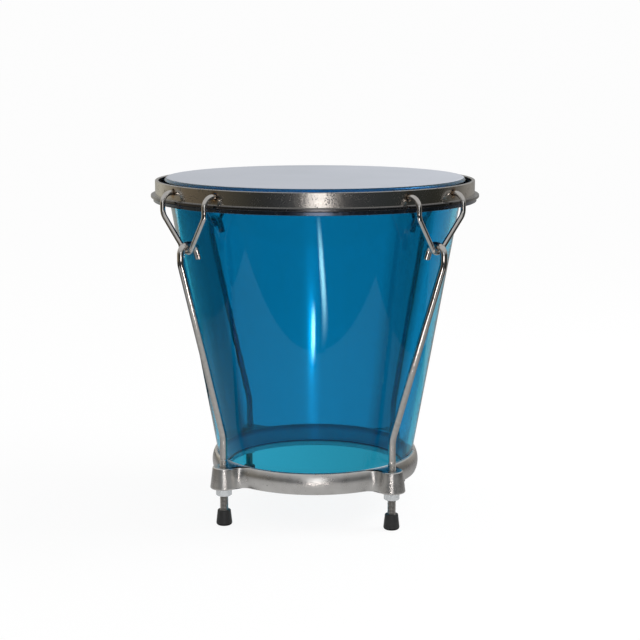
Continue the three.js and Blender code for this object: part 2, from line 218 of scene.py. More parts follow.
# Bright strips on the floor, seen only in gloss: near end, far end, middle, bow, half width and glow
STRIPS = {"streak_strip": (300 * MM, 585 * MM, 20 * MM, 28 * MM, 19 * MM, 23.0),
          "glint_strip": (275 * MM, 396 * MM, -9 * MM, 0, 13 * MM, 40.0),
          "rim_strip": (900 * MM, 2400 * MM, 100 * MM, 0, 360 * MM, 6.2)}
STRIP_COLOUR = "#fff6f2"
STRIP_LEVEL = 2 * MM
STRIP_ROWS, STRIP_COLUMNS = 33, 17

# Backdrop and the disc under the drum, seen only through the shell
BACKDROP_BEHIND = 170 * MM
BACKDROP_LOW, BACKDROP_HIGH = 90 * MM, 160 * MM
BACKDROP_LOW_GAIN = 1.12  # how much brighter it is at the low height than at the high one
BACKDROP_ROWS, BACKDROP_COLUMNS = 41, 409
UNDER_DRUM_GLOW = 0.74
UNDER_DRUM_FALL = 0.3  # how much darker it is at the right than in the middle
UNDER_DRUM_ROWS = 4

# How bright the backdrop is, from the drum's left edge at -1 to its right edge at 1
BACKDROP_TONES = [(-1.7, 0.1), (-0.84, 0.3), (-0.74, 0.9), (-0.3, 0.97), (0, 1.04), (0.3, 0.97),
                  (0.55, 0.93), (0.64, 0.62), (0.9, 0.5), (1, 1.2), (1.7, 1.2)]

# Glows up the middle of the backdrop: strength, half width on that scale, middle height and half height
HALOS = [(0.7, 0.05, 115 * MM, 70 * MM), (4.0, 0.022, 128 * MM, 22 * MM)]
HALO_SHARE = -0.03  # where their middle is on that scale

# Places read from the frame
shell_foot, shell_top = (corner.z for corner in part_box("shell"))
shell_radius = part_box("shell")[1].x
collar_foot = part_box("drum_head")[0].z
collar_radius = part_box("drum_head")[1].x
hoop_foot, hoop_top = (corner.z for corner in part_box("flesh_hoop"))
hoop_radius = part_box("flesh_hoop")[1].x
rim_foot, rim_top = (corner.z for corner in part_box("rim"))
lip_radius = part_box("rim")[1].x
ring_foot, ring_top = (corner.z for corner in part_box("base_ring"))
nut_foot, nut_top = (corner.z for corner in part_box("hex_nut_1"))
rod_reach = (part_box("hex_nut_1")[0].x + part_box("hex_nut_1")[1].x) / 2
rod_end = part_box("tension_rod_1")[0].z
foot_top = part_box("rubber_foot_1")[1].z
foot_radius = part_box("rubber_foot_1")[1].y

# Places worked out from those
edge_radius = SHELL_WALL / 2
shell_slope = (shell_radius - SHELL_FOOT_DIAMETER / 2) / (shell_top - edge_radius - shell_foot)
rim_outside = lip_radius - LIP_WIDTH
rim_inside = rim_outside - RIM_THICKNESS
lip_top = rim_foot + LIP_HEIGHT
hole_height = rim_top - HOLE_BELOW_RIM_TOP
claw_reach = lip_radius + CLAW_LIP_GAP + CLAW_WIRE / 2
claw_bend = ROD_DIAMETER / 2 + CLAW_BEND_PLAY + CLAW_WIRE / 2
rod_hook = (ROD_HOOK_BORE + ROD_DIAMETER) / 2
legs_meet = hole_height - CLAW_LEG - CLAW_VEE
claw_half_angle = math.atan2(CLAW_SPREAD / 2, math.hypot(CLAW_VEE, CLAW_LEAN))
claw_rise = claw_bend * (1 / math.sin(claw_half_angle) - 1)
claw_lowest = legs_meet + claw_rise
claw_lowest_reach = claw_reach - CLAW_LEAN * (1 - claw_rise / CLAW_VEE)
thread_top = ring_top + THREAD_ABOVE_LUG
nut_height = nut_top - nut_foot
station_turns = [station * 360 / STATIONS for station in range(STATIONS)]  # degrees round the drum


def shell_radius_at(height):
    """Outer radius of the shell's straight wall at a height."""
    return SHELL_FOOT_DIAMETER / 2 + shell_slope * (height - shell_foot)


def unit(vector):
    """A vector at length one."""
    return vector / np.linalg.norm(vector, axis=-1, keepdims=True)


def turn(points, degrees):
    """Points turned about the Z axis."""
    angle = math.radians(degrees)
    cos, sin = math.cos(angle), math.sin(angle)
    return np.asarray(points, float) @ np.array([[cos, sin, 0], [-sin, cos, 0], [0, 0, 1]])


def once_round(steps):
    """Angles spaced evenly round a circle."""
    return np.linspace(0, 2 * math.pi, steps, endpoint=False)


def on_circle(radius, angle, centre=(0, 0)):
    """Points of a circle in a plane: the centre plus the radius times the cosine and the sine."""
    return np.stack([centre[0] + radius * np.cos(angle), centre[1] + radius * np.sin(angle)], axis=-1)


def rounded_corner(before, corner, after, radius):
    """Points and tangents of the arc that rounds a corner.

    It begins and ends where its circle touches the two runs. Each point is the two touching points, seen from
    the circle's centre, mixed by the sines of their shares of the bend.
    """
    back, ahead = unit(before - corner), unit(after - corner)
    half = math.acos(float(np.clip(back @ ahead, -1, 1))) / 2
    bend = math.pi - 2 * half
    centre = corner + unit(back + ahead) * radius / math.sin(half)
    first = corner + back * radius / math.tan(half) - centre
    last = corner + ahead * radius / math.tan(half) - centre
    share = np.linspace(0, 1, math.ceil(bend / BEND_STEP) + 1)[:, None]
    arc = np.sin((1 - share) * bend) * first + np.sin(share * bend) * last
    along = np.cos(share * bend) * last - np.cos((1 - share) * bend) * first
    return centre + arc / math.sin(bend), unit(along)


def bent_path(corners, radii):
    """Points and tangents along straight runs with rounded corners, with a point near both ends of a run."""
    corners = np.asarray(corners, float)
    bends = [rounded_corner(*corners[place:place + 3], radius) for place, radius in enumerate(radii)]
    starts = [corners[0]] + [arc[-1] for arc, _ in bends]
    ends = [arc[0] for arc, _ in bends] + [corners[-1]]
    points, tangents = [corners[:1]], [unit(corners[1:2] - corners[:1])]
    for place, (start, end) in enumerate(zip(starts, ends)):
        near = min(SUPPORT, np.linalg.norm(end - start) / 4) * unit(end - start)
        points.append([start + near, end - near])
        tangents.append([unit(near), unit(near)])
        if place < len(bends):
            points.append(bends[place][0])
            tangents.append(bends[place][1])
    points.append(corners[-1:])
    tangents.append(unit(corners[-1:] - corners[-2:-1]))
    return np.concatenate(points), np.concatenate(tangents)


def rounded_profile(corners, radii):
    """A profile of (radius, height) corners, those between its two ends rounded to the given radii."""
    points, _ = bent_path([(radius, 0, height) for radius, height in corners], radii)
    return points[:, [0, 2]]


def rounded_loop(corners, radii):
    """A closed profile, every corner rounded, that starts half way along the side before its first corner."""
    middle = tuple((first + last) / 2 for first, last in zip(corners[0], corners[-1]))
    return rounded_profile([middle, *corners, middle], radii)[:-1]


def divided(profile, longest):
    """A closed profile with points added evenly, so that no side is longer than a length."""
    after = np.roll(profile, -1, axis=0)
    counts = np.ceil(np.linalg.norm(after - profile, axis=1) / longest).astype(int)
    return np.concatenate([np.linspace(start, end, count, endpoint=False)
                           for start, end, count in zip(profile, after, counts)])


def turned(profile, steps=ROUND_STEPS):
    """A profile carried round the Z axis: x is radius times cosine, y is radius times sine, z is height."""
    angle = once_round(steps)
    radius, height = np.asarray(profile).T
    level = np.repeat(height[:, None], steps, axis=1)
    return np.dstack([on_circle(radius[:, None], angle), level])


def carried(points, tangents, radius, reference):
    """A round section carried along a path: at each point a circle in the plane across the tangent.

    The circle starts from the direction across both the tangent and a reference that the path never follows.
    The radius is given for each point, and may differ from side to side.
    """
    across = unit(np.cross(tangents, reference))
    upward = np.cross(across, tangents)
    angle = once_round(WIRE_SIDES)[:, None]
    circle = np.cos(angle) * across[:, None] + np.sin(angle) * upward[:, None]
    return points[:, None] + np.broadcast_to(radius, circle.shape[:2])[..., None] * circle


def with_cut_ends(points, tangents, radius):
    """A wire's path and radii with a chamfer, a flat face and a closing point added at both ends."""
    first, last = points[:1], points[-1:]
    near, far = first + tangents[:1] * WIRE_CHAMFER, last - tangents[-1:] * WIRE_CHAMFER
    path = np.concatenate([first, first, near, points[1:-1], far, last, last])
    along = np.concatenate([np.repeat(tangents[:1], 3, 0), tangents[1:-1], np.repeat(tangents[-1:], 3, 0)])
    radii = np.full(len(path), radius)
    radii[[0, -1]] = 0
    radii[[1, -2]] = radius - WIRE_CHAMFER
    return path, along, radii


def new_object(name, data):
    """An object for a mesh, a lamp or a lens, linked into the scene."""
    thing = bpy.data.objects.new(name, data)
    bpy.context.scene.collection.objects.link(thing)
    return thing


def tidy_mesh(mesh, sharp):
    """Merges doubles, points the faces out and shades smooth up to an angle in degrees."""
    work = bmesh.new()
    work.from_mesh(mesh)
    bmesh.ops.remove_doubles(work, verts=work.verts, dist=MERGE_WITHIN)
    bmesh.ops.dissolve_degenerate(work, edges=work.edges, dist=SLIVER)
    bmesh.ops.recalc_face_normals(work, faces=work.faces)
    work.to_mesh(mesh)
    work.free()
    mesh.shade_smooth()
    mesh.set_sharp_from_angle(angle=math.radians(sharp))


def faces_of(grid, closed_rows=False, closed_columns=False):
    """Quads that join neighbouring points of a grid, whose rows and columns may close on themselves."""
    index = np.arange(grid[..., 0].size).reshape(grid.shape[:2])
    index = np.pad(index, ((0, int(closed_rows)), (0, int(closed_columns))), mode="wrap")
    corners = [index[:-1, :-1], index[:-1, 1:], index[1:, 1:], index[1:, :-1]]
    return np.stack(corners, axis=-1).reshape(-1, 4)


def grid_object(name, grid, closed_rows, sharp):
    """A grid of points as a mesh object. Doubles merge, so a row that shrinks to a point closes as a pole."""
    mesh = bpy.data.meshes.new(name)
    mesh.from_pydata(grid.reshape(-1, 3), [], faces_of(grid, closed_rows, True))
    tidy_mesh(mesh, sharp)
    return new_object(name, mesh)


def new_piece(name, grid, closed_rows, material, node, sharp=SHARP):
    """A grid as a piece that stands for a node of the frame and rides on that node's body."""
    piece = grid_object(name, grid, closed_rows, sharp)
    piece.data.materials.append(material)
    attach(piece, frame["nodes"][node]["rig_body"])
    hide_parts(node)
    return piece


def station_piece(station, name, grid, closed_rows, material, node, sharp=SHARP):
    """A grid made at the first station as any station's piece, turned there and numbered like its node."""
    number = station + 1
    return new_piece(f"{name}_{number}", turn(grid, station_turns[station]), closed_rows, material,
                     f"{node}_{number}", sharp)


def drill(piece, grids):
    """Cuts closed grids out of a piece and takes the cutters away again."""
    for grid in grids:
        cutter = grid_object("cutter", grid, False, SHARP)
        cut = piece.modifiers.new("cut", "BOOLEAN")
        cut.operation = "DIFFERENCE"
        cut.solver = "EXACT"
        cut.object = cutter
        bpy.context.view_layer.update()
        evaluated = piece.evaluated_get(bpy.context.evaluated_depsgraph_get())
        done = bpy.data.meshes.new_from_object(evaluated)
        piece.modifiers.clear()
        piece.data = done
        bpy.data.objects.remove(cutter)
    tidy_mesh(piece.data, SHARP)


def points_of(piece):
    """The x, y and z of a piece's points."""
    place = np.zeros(len(piece.data.vertices) * 3)
    piece.data.vertices.foreach_get("co", place)
    return place.reshape(-1, 3).T


def store_values(thing, name, values):
    """Stores a number for each point of a mesh object, for its material to read."""
    mark = thing.data.attributes.new(name, "FLOAT", "POINT")
    mark.data.foreach_set("value", values)


def linear(colour):
    """An sRGB hex colour as linear red, green, blue and alpha: a straight part near black, then a power."""
    srgb = np.array([int(colour[place:place + 2], 16) for place in (1, 3, 5)]) / 255
    value = np.where(srgb <= 0.04045, srgb / 12.92, ((srgb + 0.055) / 1.055) ** 2.4)
    return (*value.tolist(), 1.0)


def in_use(sockets, key):
    """A node's socket by its number or its name, among those that the node's settings leave in use."""
    used = [socket for socket in sockets if socket.enabled]
    if isinstance(key, int):
        return used[key]
    return next(socket for socket in used if socket.name == key)


def add(tree, kind, inputs=None, **settings):
    """Adds a node with its settings. An input takes a value, hex colour, socket, or node's first output."""
    node = tree.nodes.new("ShaderNode" + kind)
    for name, value in settings.items():
        setattr(node, name, value)
    for key, value in (inputs or {}).items():
        socket = in_use(node.inputs, key)
        if isinstance(value, bpy.types.Node):
            value = in_use(value.outputs, 0)
        if isinstance(value, bpy.types.NodeSocket):
            tree.links.new(value, socket)
        else:
            socket.default_value = linear(value) if isinstance(value, str) else value
    return node


def new_material(name, finish):
    """A node material whose surface a finish adds to its tree, given each point's place in the mesh."""
    material = bpy.data.materials.new(name)
    material.use_nodes = True
    tree = material.node_tree
    tree.nodes.clear()
    place = add(tree, "TexCoord").outputs["Object"]
    add(tree, "OutputMaterial", {"Surface": finish(tree, place)})
    return material


def tinted_acrylic(tree, place):
    """Acrylic sheet, cast, bent to a cone and polished: clear deep blue, paler at its foot, like glass."""
    level = add(tree, "SeparateXYZ", {"Vector": place})
    depth = add(tree, "MapRange", {
        "Value": level.outputs["Z"], "From Min": ring_top - SHELL_WALL, "From Max": ring_top})
    tint = add(tree, "Mix", {"Factor": depth, "A": "#a8e9ff", "B": "#25a3c4"}, data_type="RGBA")
    wipes = add(tree, "TexNoise", {"Vector": place, "Scale": PER_MM / 25, "Detail": 4.0})
    gloss = add(tree, "MapRange", {"Value": wipes, "From Min": 0.4, "From Max": 0.8, "To Max": 0.04})
    return add(tree, "BsdfPrincipled", {
        "Base Color": tint, "Roughness": gloss, "IOR": 1.49, "Transmission Weight": 1.0,
        "Specular Tint": "#aaedff"})


def clear_film(tree, place):
    """Polyester film, extruded: clear with a blue cast, a little soft in its gloss."""
    haze = add(tree, "TexNoise", {"Vector": place, "Scale": PER_MM / 6, "Detail": 3.0})
    gloss = add(tree, "MapRange", {
        "Value": haze, "From Min": 0.3, "From Max": 0.7, "To Min": 0.03, "To Max": 0.12})
    return add(tree, "BsdfPrincipled", {
        "Base Color": "#5f98be", "Roughness": gloss, "IOR": 1.57, "Transmission Weight": 1.0,
        "Specular Tint": "#95daf3"})


def sprayed_coating(tree, place):
    """White texture sprayed on the film: cool grey white, faintly cloudy, its grain drawn coarse to show."""
    cloud = add(tree, "TexNoise", {"Vector": place, "Scale": PER_MM / 60, "Detail": 3.0})
    grain = add(tree, "TexNoise", {"Vector": place, "Scale": PER_MM / 0.8, "Detail": 2.0})
    colour = add(tree, "Mix", {"Factor": cloud, "A": "#adb3bc", "B": "#bcc0ca"}, data_type="RGBA")
    bump = add(tree, "Bump", {"Height": grain, "Strength": 0.25, "Distance": 0.05 * MM})
    return add(tree, "BsdfPrincipled", {"Base Color": colour, "Roughness": 0.5, "IOR": 1.5, "Normal": bump})


def pitted_chrome(tree, place):
    """Chromium plate on rolled steel, aged: satin, with dull pits, a painted dark reflection on its lip, and
    rust round its holes.
    """
    rust = add(tree, "Attribute", attribute_name="rust").outputs["Fac"]
    cells = add(tree, "TexVoronoi", {"Vector": place, "Scale": PER_MM / 1.3})
    patch = add(tree, "TexNoise", {"Vector": place, "Scale": PER_MM / 9, "Detail": 5.0})
    peel = add(tree, "TexNoise", {"Vector": place, "Scale": PER_MM / 3, "Detail": 3.0})
    pit = add(tree, "MapRange", {
        "Value": cells, "From Min": 0.15, "From Max": 0.4, "To Min": 1.0, "To Max": 0.0})
    where = add(tree, "MapRange", {"Value": patch, "From Min": 0.47, "From Max": 0.6})
    pits = add(tree, "Math", {0: pit, 1: where}, operation="MULTIPLY")
    level = add(tree, "SeparateXYZ", {"Vector": place})
    # Painted reflection: the lip below its top edge is darkened towards the pits' dark grey
    lip_painted_dark = add(tree, "MapRange", {
        "Value": level.outputs["Z"], "From Min": lip_top - FINE_EDGE, "From Max": lip_top + LIP_EDGE,
        "To Min": 0.85, "To Max": 0.0})
    marks_and_shade = add(tree, "Math", {0: pits, 1: lip_painted_dark}, operation="MAXIMUM")
    spread = add(tree, "Math", {0: rust, 1: patch}, operation="MULTIPLY")
    stain = add(tree, "MapRange", {"Value": spread, "From Min": 0.2, "From Max": 0.55})
    plate = add(tree, "Mix", {"Factor": marks_and_shade, "A": "#b5b2ad", "B": "#40434a"}, data_type="RGBA")
    colour = add(tree, "Mix", {"Factor": stain, "A": plate, "B": "#957240"}, data_type="RGBA")
    gloss = add(tree, "MapRange", {"Value": pits, "To Min": 0.2, "To Max": 0.5})
    hollows = add(tree, "Bump", {"Height": pits, "Strength": 0.5, "Distance": 0.06 * MM}, invert=True)
    bump = add(tree, "Bump", {"Height": peel, "Strength": 0.4, "Distance": 0.12 * MM, "Normal": hollows})
    return add(tree, "BsdfPrincipled", {
        "Base Color": colour, "Metallic": 1.0, "Roughness": gloss, "Normal": bump})


def dark_steel(tree, place):
    """Plated steel hoop, drawn and dulled: dark and glossy, mottled, with a blue cast that is a painted
    reflection of the shell.
    """
    mark = add(tree, "TexNoise", {"Vector": place, "Scale": PER_MM / 3, "Detail": 4.0})
    # Painted reflection: the blue cast of these greys stands for the blue shell mirrored in the hoop
    colour = add(tree, "Mix", {"Factor": mark, "A": "#343e4c", "B": "#6f7b8e"}, data_type="RGBA")
    gloss = add(tree, "MapRange", {"Value": mark, "To Min": 0.12, "To Max": 0.35})
    return add(tree, "BsdfPrincipled", {"Base Color": colour, "Metallic": 1.0, "Roughness": gloss})


def nickel_wire(tree, place):
    """Nickel plate on drawn steel wire: a grey mirror, with rust where it rubs, and grime with painted shade
    in its threads.
    """
    rust = add(tree, "Attribute", attribute_name="rust").outputs["Fac"]
    grime_and_shade = add(tree, "Attribute", attribute_name="grime_and_shade").outputs["Fac"]
    mottle = add(tree, "TexNoise", {"Vector": place, "Scale": PER_MM / 2.5, "Detail": 5.0})
    spread = add(tree, "Math", {0: rust, 1: mottle}, operation="MULTIPLY")
    stain = add(tree, "MapRange", {"Value": spread, "From Min": 0.25, "From Max": 0.6})
    clean = add(tree, "Mix", {"Factor": mottle, "A": "#bab7b3", "B": "#dcd9d5"}, data_type="RGBA")
    rusty = add(tree, "Mix", {"Factor": stain, "A": clean, "B": "#957240"}, data_type="RGBA")
    # Grime with painted shade: the stud's threads under the lug darken towards their roots
    colour = add(tree, "Mix", {"Factor": grime_and_shade, "A": rusty, "B": "#7f7c77"}, data_type="RGBA")
    marks_and_shade = add(tree, "Math", {0: stain, 1: grime_and_shade}, operation="MAXIMUM")
    gloss = add(tree, "MapRange", {"Value": marks_and_shade, "To Min": 0.1, "To Max": 0.5})
    return add(tree, "BsdfPrincipled", {"Base Color": colour, "Metallic": 1.0, "Roughness": gloss})


def cast_aluminium(tree, place):
    """Aluminium sand casting, polished by hand: cloudy satin metal with a few dark pores, left raw inside and
    painted near white there as painted light.
    """
    raw_painted_bright = add(tree, "Attribute", attribute_name="raw_painted_bright").outputs["Fac"]
    cloud, skin, pores = (
        add(tree, "TexNoise", {"Vector": place, "Scale": PER_MM / size, "Detail": detail})
        for size, detail in [(9, 6.0), (4, 5.0), (2, 2.0)])
    pore = add(tree, "MapRange", {"Value": pores, "From Min": 0.71, "From Max": 0.8, "To Max": 0.6})
    metal = add(tree, "Mix", {"Factor": cloud, "A": "#bebcb9", "B": "#e8e6e3"}, data_type="RGBA")
    porous = add(tree, "Mix", {"Factor": pore, "A": metal, "B": "#4b4640"}, data_type="RGBA")
    # Painted light: the raw inside is near white and not metallic, brighter than raw metal, so it looks lit
    # behind the shell
    colour = add(tree, "Mix", {"Factor": raw_painted_bright, "A": porous, "B": "#fafaf8"}, data_type="RGBA")
    gloss = add(tree, "MapRange", {"Value": cloud, "To Min": 0.2, "To Max": 0.38})
    bare = add(tree, "MapRange", {"Value": raw_painted_bright, "To Min": 1.0, "To Max": 0.0})
    bump = add(tree, "Bump", {"Height": skin, "Strength": 0.14, "Distance": 0.3 * MM})
    return add(tree, "BsdfPrincipled", {
        "Base Color": colour, "Metallic": bare, "Roughness": gloss, "Normal": bump})


def zinc_plate(tree, place):
    """Zinc plate on a turned steel nut, gone chalky: pale blue-grey, satin, lightly mottled."""
    mottle = add(tree, "TexNoise", {"Vector": place, "Scale": PER_MM / 2, "Detail": 4.0})
    colour = add(tree, "Mix", {"Factor": mottle, "A": "#d6dbde", "B": "#f8fafb"}, data_type="RGBA")
    gloss = add(tree, "MapRange", {"Value": mottle, "To Min": 0.12, "To Max": 0.3})
    return add(tree, "BsdfPrincipled", {"Base Color": colour, "Metallic": 0.75, "Roughness": gloss})


def moulded_rubber(tree, place):
    """Black rubber, moulded: nearly matt, with paler scuffs and a fine grain, drawn coarse to show."""
    scuff = add(tree, "TexNoise", {"Vector": place, "Scale": PER_MM / 4, "Detail": 6.0})
    grain = add(tree, "TexNoise", {"Vector": place, "Scale": PER_MM / 0.5, "Detail": 2.0})
    colour = add(tree, "Mix", {"Factor": scuff, "A": "#0b0b0c", "B": "#2e2f2f"}, data_type="RGBA")
    gloss = add(tree, "MapRange", {"Value": scuff, "To Min": 0.28, "To Max": 0.55})
    bump = add(tree, "Bump", {"Height": grain, "Strength": 0.3, "Distance": 0.05 * MM})
    return add(tree, "BsdfPrincipled", {"Base Color": colour, "Roughness": gloss, "Normal": bump})


def make_shell(material):
    """The shell's wall turned round the axis: a leaning strip with a round upper edge."""
    foot = SHELL_FOOT_DIAMETER / 2
    edge = on_circle(edge_radius, np.linspace(0, math.pi, SHELL_EDGE_STEPS),
                     (shell_radius - edge_radius, shell_top - edge_radius))
    wall = rounded_profile([edge[-1], (foot - SHELL_WALL, shell_foot), (foot, shell_foot), edge[0]],
                           2 * [SHELL_FOOT_EDGE])
    profile = np.concatenate([wall[:-1], edge[:-1]])
    new_piece("acrylic_shell", turned(profile), True, material, "shell")


def film_side(radius, ends_at):
    """One side of the film from the axis out: flat, then round the shell's edge down to an angle."""
    reach = collar_radius - FILM - COATING - FIT_GAP - edge_radius
    height = shell_top - edge_radius
    bend = on_circle(radius, np.radians(np.linspace(90, ends_at, FILM_BEND_STEPS)), (reach, height))
    return np.concatenate([[(0, height + radius), (reach - SUPPORT, height + radius)], bend])


def make_head(film, coating):
    """The film's two sides turned round the axis, and over it the coating, a thin skin as far as the bend."""
    inner = edge_radius + FIT_GAP
    outer = inner + FILM
    under, over = film_side(inner, 0), film_side(outer, 0)
    below_bend = over[-1, 1] - SUPPORT
    collar = [(over[-1, 0], below_bend), (over[-1, 0], collar_foot), (under[-1, 0], collar_foot),
              (under[-1, 0], below_bend)]
    profile = np.concatenate([over, collar, under[::-1]])
    new_piece("head_film_clear", turned(profile), False, film, "drum_head")
    top, foot = (film_side(outer + lift, COATING_ENDS_AT) for lift in (COATING, COATING_GAP))
    skin = turned(np.concatenate([top, foot[::-1]]))
    new_piece("head_coating", skin, False, coating, "drum_head")


def make_hoop(material):
    """The flesh hoop's section turned round the axis: a flat bar with a step for the head's collar."""
    inside = collar_radius - FILM - COATING
    step = collar_radius + FIT_GAP
    ledge = collar_foot - FIT_GAP
    profile = rounded_loop(
        [(inside, hoop_foot), (hoop_radius, hoop_foot), (hoop_radius, hoop_top), (step, hoop_top),
         (step, ledge), (inside, ledge)],
        [FINE_EDGE, HOOP_EDGE, HOOP_EDGE] + 3 * [FINE_EDGE])
    new_piece("flesh_hoop_bar", turned(profile), True, material, "flesh_hoop")


def make_rim(material):
    """The rim's section turned round the axis: a band with a lip, drilled and countersunk for the claws."""
    profile = rounded_loop(
        [(rim_inside, rim_foot), (lip_radius, rim_foot), (lip_radius, lip_top), (rim_outside, lip_top),
         (rim_outside, rim_top), (rim_inside, rim_top)],
        4 * [LIP_EDGE] + 2 * [RIM_EDGE])
    grid = turned(divided(profile, RIM_STEP), 2 * ROUND_STEPS)
    rim = new_piece("chromed_rim", grid, True, material, "rim")
    radius = HOLE_DIAMETER / 2
    start = rim_inside - LIP_WIDTH
    face = math.sqrt(rim_outside ** 2 - (CLAW_SPREAD / 2) ** 2)  # how far out the band lies at a hole
    bar = turned([(0, start), (radius, start), (radius, face - HOLE_CHAMFER), (radius + HOLE_CHAMFER, face),
                  (radius + HOLE_CHAMFER, lip_radius), (0, lip_radius)], SMALL_ROUND_STEPS)
    sideways = bar[..., [2, 1, 0]] * [1, 1, -1]
    places = [(np.array([0, side * CLAW_SPREAD / 2, hole_height]), RIM_TURN + degrees)
              for degrees in station_turns for side in (-1, 1)]
    drill(rim, [turn(sideways + offset, degrees) for offset, degrees in places])
    holes = np.array([turn(offset + [face, 0, 0], degrees) for offset, degrees in places])
    # Rust is one at a hole's edge, and falls as the exponential of the distance over its reach
    away = np.linalg.norm(points_of(rim).T[:, None] - holes, axis=-1).min(axis=1)
    store_values(rim, "rust", np.exp(-np.maximum(away - radius, 0) / RUST_REACH))


def make_claw(station, material):
    """One wire carried along its bends: through the rim, over the lip, down to the vee and back likewise."""
    inner_end = collar_radius + CLAW_END_GAP
    shoulder = claw_reach - rim_outside
    half = CLAW_SPREAD / 2
    elbow = hole_height - CLAW_LEG
    corners = [(inner_end, -half, hole_height), (claw_reach, -half, hole_height), (claw_reach, -half, elbow),
               (claw_reach - CLAW_LEAN, 0, legs_meet), (claw_reach, half, elbow),
               (claw_reach, half, hole_height), (inner_end, half, hole_height)]
    path = bent_path(corners, [shoulder, CLAW_ELBOW, claw_bend, CLAW_ELBOW, shoulder])
    points, tangents, radii = with_cut_ends(*path, CLAW_WIRE / 2)
    grid = turn(carried(points, tangents, radii[:, None], (1, 0, 1)), RIM_TURN)
    claw = station_piece(station, "claw_wire", grid, False, material, "claw_hook")
    # Rust is one where the level legs meet the rim's face, and falls in the same way as on the rim
    x, y, z = points_of(claw)
    rust = np.exp(-np.abs(np.hypot(x, y) - rim_outside) / RUST_REACH)
    store_values(claw, "rust", np.where(np.abs(z - hole_height) < CLAW_WIRE, rust, 0))


def rod_path():
    """A rod's points and tangents, from the cut end of its hook to its foot, closely spaced on the thread."""
    hook_top = claw_lowest + CLAW_WIRE / 2 + FIT_GAP + ROD_DIAMETER / 2
    hook_foot = hook_top - rod_hook
    stub_reach, leg_reach = claw_lowest_reach - rod_hook, claw_lowest_reach + rod_hook
    upper = turn([(stub_reach - ROD_STUB_LEAN, 0, hook_foot - ROD_STUB), (stub_reach, 0, hook_top),
                  (leg_reach, 0, hook_top), (leg_reach, 0, hook_foot - ROD_KNEE_DROP)], RIM_TURN)
    lower = [(rod_reach, 0, ring_top + ROD_BEND_ABOVE_RING), (rod_reach, 0, thread_top)]
    points, tangents = bent_path([*upper, *lower], [rod_hook, rod_hook, ROD_KNEE, ROD_BEND])
    heights = np.arange(thread_top, rod_end + 2 * WIRE_CHAMFER, -THREAD_PITCH / STEPS_PER_PITCH)[1:]
    stem = np.array([rod_reach, 0, 0]) + np.outer([*heights, rod_end], [0, 0, 1])
    down = np.tile([0, 0, -1.0], (len(stem), 1))
    return np.concatenate([points, stem]), np.concatenate([tangents, down])


def make_rod(station, material):
    """One wire carried along its path, whose radius winds up and down on the thread.

    There the radius is a cosine of the height in pitches less the turn round the rod, so its crests form a
    helix, and the depth fades out over the last few pitches below the plain shank.
    """
    points, tangents, radii = with_cut_ends(*rod_path(), ROD_DIAMETER / 2)
    turns = np.linspace(0, 1, WIRE_SIDES, endpoint=False)
    depth = np.clip((thread_top - points[:, 2:]) / THREAD_RUN_OUT, 0, 1)
    wave = np.cos(2 * math.pi * (points[:, 2:] / THREAD_PITCH - turns))
    threaded = THREAD_DIAMETER / 2 - THREAD_DEPTH * (1 - wave) / 2
    plain = radii[:, None]
    radius = np.where(plain == ROD_DIAMETER / 2, plain * (1 - depth) + threaded * depth, plain)
    grid = carried(points, tangents, radius, (0, 1, 0))
    rod = station_piece(station, "rod_wire", grid, False, material, "tension_rod",
                        THREAD_SHARP)
    # Grime with painted shade is a trace on the crests and rises evenly to one at the roots, on the stud
    # below the ring alone
    rod_x, rod_y, _ = turn([rod_reach, 0, 0], station_turns[station])
    x, y, z = points_of(rod)
    below_crest = (THREAD_DIAMETER / 2 - np.hypot(x - rod_x, y - rod_y)) / THREAD_DEPTH
    grime_and_shade = np.clip(GRIME_AND_SHADE_ON_CREST + (1 - GRIME_AND_SHADE_ON_CREST) * below_crest, 0, 1)
    store_values(rod, "grime_and_shade", np.where(z < ring_foot, grime_and_shade, 0))


def ring_outline():
    """The ring seen from above: its points, their outward normals, and how much of the crown each has.

    Each half station is a nose round the rod, a fillet and an arc of the ring, and the other half mirrors it.
    The fillet's centre lies at the two radii's distance from the ring's axis and from the nose's centre.
    """
    ring_radius = shell_radius_at(ring_top) + FIT_GAP + RING_EDGE_WALL
    to_fillet = ring_radius + LUG_FILLET
    fillet_x = (to_fillet ** 2 - (LUG_NOSE + LUG_FILLET) ** 2 + rod_reach ** 2) / (2 * rod_reach)
    fillet_y = math.sqrt(to_fillet ** 2 - fillet_x ** 2)
    on_ring, on_nose = math.atan2(fillet_y, fillet_x), math.atan2(fillet_y, fillet_x - rod_reach)
    nose = np.linspace(0, on_nose, LUG_STEPS, endpoint=False)
    bend = np.linspace(on_nose, on_ring, LUG_STEPS) + math.pi
    bow = np.linspace(on_ring, math.pi / STATIONS, BOW_STEPS)[1:-1]
    ease = np.linspace(0, 1, LUG_STEPS)
    half = np.concatenate([on_circle(LUG_NOSE, nose, (rod_reach, 0)),
                           on_circle(LUG_FILLET, bend, (fillet_x, fillet_y)), on_circle(ring_radius, bow)])
    normal = np.concatenate([on_circle(1, nose), -on_circle(1, bend), on_circle(1, bow)])
    crown = np.concatenate([np.zeros(len(nose)), ease ** 2 * (3 - 2 * ease), np.ones(len(bow))])
    both = [np.concatenate([values[:0:-1] * [1, -1], values]) for values in (half, normal)]
    flat = [np.pad(values, ((0, 0), (0, 1))) for values in both]
    points, normals = (np.concatenate([turn(values, degrees) for degrees in station_turns])
                       for values in flat)
    return points[:, :2], normals[:, :2], np.tile(np.concatenate([crown[:0:-1], crown]), STATIONS)


